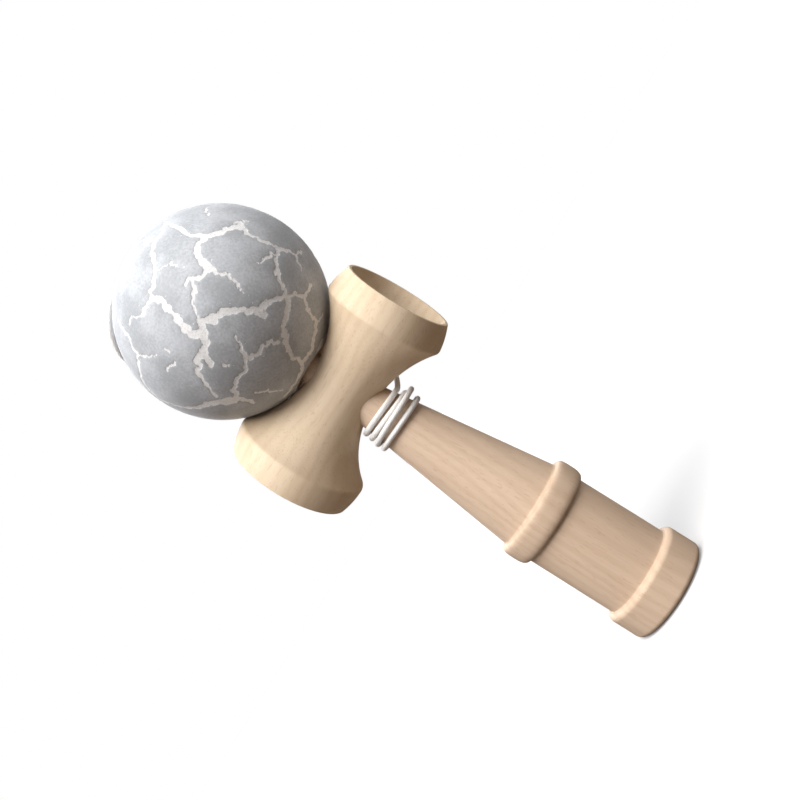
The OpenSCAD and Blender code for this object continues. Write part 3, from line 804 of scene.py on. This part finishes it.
# Satin grey paint that has split over a white coat; bare wood inside the holes
def paintMaterial():
    material, tree, shader = newMaterial("crackedPaint")
    place = addNode(tree, "TexCoord").outputs["Object"]
    inMm = stretched(tree, place, inMillimetres)
    gap, bare = (addNode(tree, "Attribute", attribute_name=name).outputs["Fac"]
                 for name in ("crackGap", "bareWood"))
    rawCoarse = noise(tree, inMm, *paint["raggedNoise"])
    rawFine = noise(tree, inMm, *paint["fineNoise"])
    coarse, fine = (calc(tree, "MULTIPLY", calc(tree, "SUBTRACT", raw, 0.5), paint[size])
                    for raw, size in ((rawCoarse, "ragged"), (rawFine, "fine")))
    edge = calc(tree, "ADD", gap, calc(tree, "ADD", coarse, fine))
    split = ease(tree, edge, *paint["splitRange"])
    chips = ease(tree, noise(tree, inMm, *paint["chipNoise"]), *paint["chipRange"])
    chipped = calc(tree, "MULTIPLY", chips, ease(tree, gap, *paint["chipReach"]))
    white = calc(tree, "MAXIMUM", split, calc(tree, "MULTIPLY", chipped, paint["chipShare"]))
    cloud = ease(tree, noise(tree, inMm, *paint["cloudNoise"]), *paint["cloudRange"])
    speck = noise(tree, inMm, *paint["speckNoise"])
    tone = calc(tree, "ADD", calc(tree, "MULTIPLY", cloud, paint["cloudShare"]),
                calc(tree, "MULTIPLY", speck, paint["speckShare"]))
    grey = mixColour(tree, ease(tree, tone, *paint["toneRange"]), paint["pale"], paint["deep"])
    wear = ease(tree, noise(tree, inMm, *paint["wornNoise"]), *paint["wornRange"])
    coat = mixColour(tree, white, grey, mixColour(tree, wear, paint["base"], paint["worn"]))
    colour = mixColour(tree, bare, coat, paint["wood"])
    smudge = placeGroup(tree, handling, {"Vector": place, "Size": paint["smudgeSize"]})["Mask"]
    dulled = calc(tree, "MULTIPLY_ADD", smudge, paint["dulling"], paint["rough"])
    rough = calc(tree, "ADD", dulled, calc(tree, "MULTIPLY", white, paint["whiteRough"]))
    height = calc(tree, "ADD", calc(tree, "MULTIPLY", white, -1.0),
                  calc(tree, "MULTIPLY", speck, paint["speckHeight"]))
    shade(tree, shader, colour, rough, bumped(tree, height, paint["bump"], paint["bumpStrength"]))
    shader.inputs["Specular IOR Level"].default_value = paint["specular"]
    return material


# crown and groove are the cord's colours; the darker groove colour is painted shade between the strands
cordLook = {
    "crown": (0.925, 0.915, 0.90, 1), "groove": (0.82, 0.81, 0.79, 1), "sheen": 0.25,
    "fuzzNoise": (4.0, 3.0, 0.7), "fuzzRough": 0.2, "rough": 0.34, "fuzzHeight": 0.15,
    "bump": 0.00012, "bumpStrength": 0.45,
}


# White braided cord: the same crossing strands as in its mesh, u round it and v in diameters along it. The
# colour darkens from the crowns into the grooves as painted shade.
def cordMaterial():
    material, tree, shader = newMaterial("braidedString")
    uv = addNode(tree, "SeparateXYZ")
    tree.links.new(addNode(tree, "UVMap", uv_map="UVMap").outputs[0], uv.inputs[0])
    around = calc(tree, "MULTIPLY", uv.outputs["X"], fullTurn * string["strands"])
    along = calc(tree, "MULTIPLY", uv.outputs["Y"], fullTurn * string["plait"])
    left, right = (calc(tree, "SINE", calc(tree, way, around, along)) for way in ("ADD", "SUBTRACT"))
    crossing = calc(tree, "ABSOLUTE", calc(tree, "MULTIPLY", left, right))
    crown = calc(tree, "POWER", crossing, string["crownPower"])
    inMm = stretched(tree, addNode(tree, "TexCoord").outputs["Object"], inMillimetres)
    fuzz = noise(tree, inMm, *cordLook["fuzzNoise"])
    # painted shade: the colour is darker in the grooves between the crowns
    colour = mixColour(tree, crown, cordLook["groove"], cordLook["crown"])
    rough = calc(tree, "MULTIPLY_ADD", fuzz, cordLook["fuzzRough"], cordLook["rough"])
    height = calc(tree, "MULTIPLY_ADD", fuzz, cordLook["fuzzHeight"], crown)
    shade(tree, shader, colour, rough, bumped(tree, height, cordLook["bump"], cordLook["bumpStrength"]))
    shader.inputs["Sheen Weight"].default_value = cordLook["sheen"]
    return material


for piece, material in (
    (handlePiece, woodMaterial("handleBeech", handleWood)),
    (crossPiece, woodMaterial("crosspieceBeech", crossWood)),
    (beadPiece, woodMaterial("beadBeech", beadWood)),
    (ballPiece, paintMaterial()),
):
    piece.data.materials.clear()
    piece.data.materials.append(material)
braid = cordMaterial()
for piece in (stringPiece, ballKnot, handleKnot):
    piece.data.materials.append(braid)
print("materials set")

# what each piece stands for and moves with
for piece, body, node, slot in (
    (handlePiece, "handle", "handle", "handle_wood"),
    (crossPiece, "handle", "crosspiece", "crosspiece_wood"),
    (handleKnot, "handle", "handle_knot", "string"),
    (beadPiece, "bead", "string_bead", "bead_wood"),
    (ballKnot, "bead", "ball_knot", "string"),
    (ballPiece, "ball", "ball", "ball_paint"),
):
    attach(piece, body)
    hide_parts(node)
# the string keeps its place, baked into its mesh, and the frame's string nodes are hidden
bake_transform(stringPiece)
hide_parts("string_tail", "string_winding", "string_lead", "string_inner")

stage = {
    "floorSize": 20000, "floorZ": -0.2, "floorRough": 0.9, "floorSpecular": 0.1,
    "seen": (0.5, 0.5, 0.5, 1), "bounce": (0.09, 0.07, 0.055, 1), "glow": 0.25, "white": (1, 1, 1, 1),
    "world": 0.11, "reflected": 0.6,
}
# Direction as right, up and towards the front, then breadth in degrees, strength and colour
lights = {
    "windowLight": ((-0.13, 0.83, 0.54), 46, 4.8, (1, 0.985, 0.97)),
    "sideLight": ((0.8, 0.5, 0.2), 60, 0.95, (1, 0.99, 0.98)),
    "lowLight": ((-0.85, 0.15, 0.5), 60, 0.6, (1, 0.94, 0.95)),
    "skyLight": ((-0.15, 0.5, -0.85), 65, 2.1, (0.94, 0.955, 1)),
}


# A pale floor that looks white to the camera and throws little light back up under the toy
def makeFloor():
    half = stage["floorSize"] / 2
    mesh = bpy.data.meshes.new("floor")
    corners = np.array([[x, y, stage["floorZ"]] for x, y in (
        (-half, -half), (half, -half), (half, half), (-half, half))]) * mm
    mesh.from_pydata(corners.tolist(), [], [[0, 1, 2, 3]])
    floor = bpy.data.objects.new("floor", mesh)
    scene.collection.objects.link(floor)
    material, tree, shader = newMaterial("paleFloor")
    seen = addNode(tree, "LightPath").outputs["Is Camera Ray"]
    tree.links.new(mixColour(tree, seen, stage["bounce"], stage["seen"]), shader.inputs["Base Color"])
    tree.links.new(calc(tree, "MULTIPLY", seen, stage["glow"]), shader.inputs["Emission Strength"])
    shader.inputs["Emission Color"].default_value = stage["white"]
    shader.inputs["Roughness"].default_value = stage["floorRough"]
    shader.inputs["Specular IOR Level"].default_value = stage["floorSpecular"]
    mesh.materials.append(material)


# Broad far light; its direction is given in the axes of the photographed side
def broadLight(name, towards, breadth, strength, colour):
    turn = math.radians(camera["turn"])
    right = np.array([math.cos(turn), math.sin(turn), 0])
    front = np.array([math.sin(turn), -math.cos(turn), 0])
    way = towards[0] * right + towards[1] * np.array([0, 0, 1]) + towards[2] * front
    way /= np.linalg.norm(way)
    data = bpy.data.lights.new(name, "SUN")
    data.angle, data.energy, data.color = math.radians(breadth), strength, colour
    light = bpy.data.objects.new(name, data)
    side = np.cross([0.31, 0.2, 0.5], way)  # any direction across the light
    side /= np.linalg.norm(side)
    light.matrix_world = axesMatrix(side, np.cross(way, side), way)
    scene.collection.objects.link(light)


def lightScene():
    for name, values in lights.items():
        broadLight(name, *values)
    world = bpy.data.worlds.new("studio")
    world.use_nodes = True
    tree = world.node_tree
    background = tree.nodes["Background"]
    background.inputs["Color"].default_value = stage["white"]
    # white behind the toy and in its gloss, dimmer where it only lights
    path = addNode(tree, "LightPath").outputs
    more = stage["reflected"] - stage["world"]
    shine = calc(tree, "MULTIPLY_ADD", path["Is Glossy Ray"], more, stage["world"])
    tree.links.new(calc(tree, "MAXIMUM", shine, path["Is Camera Ray"]), background.inputs["Strength"])
    scene.world = world
    scene.view_settings.view_transform = "Standard"


makeFloor()
lightScene()
print("stage set")
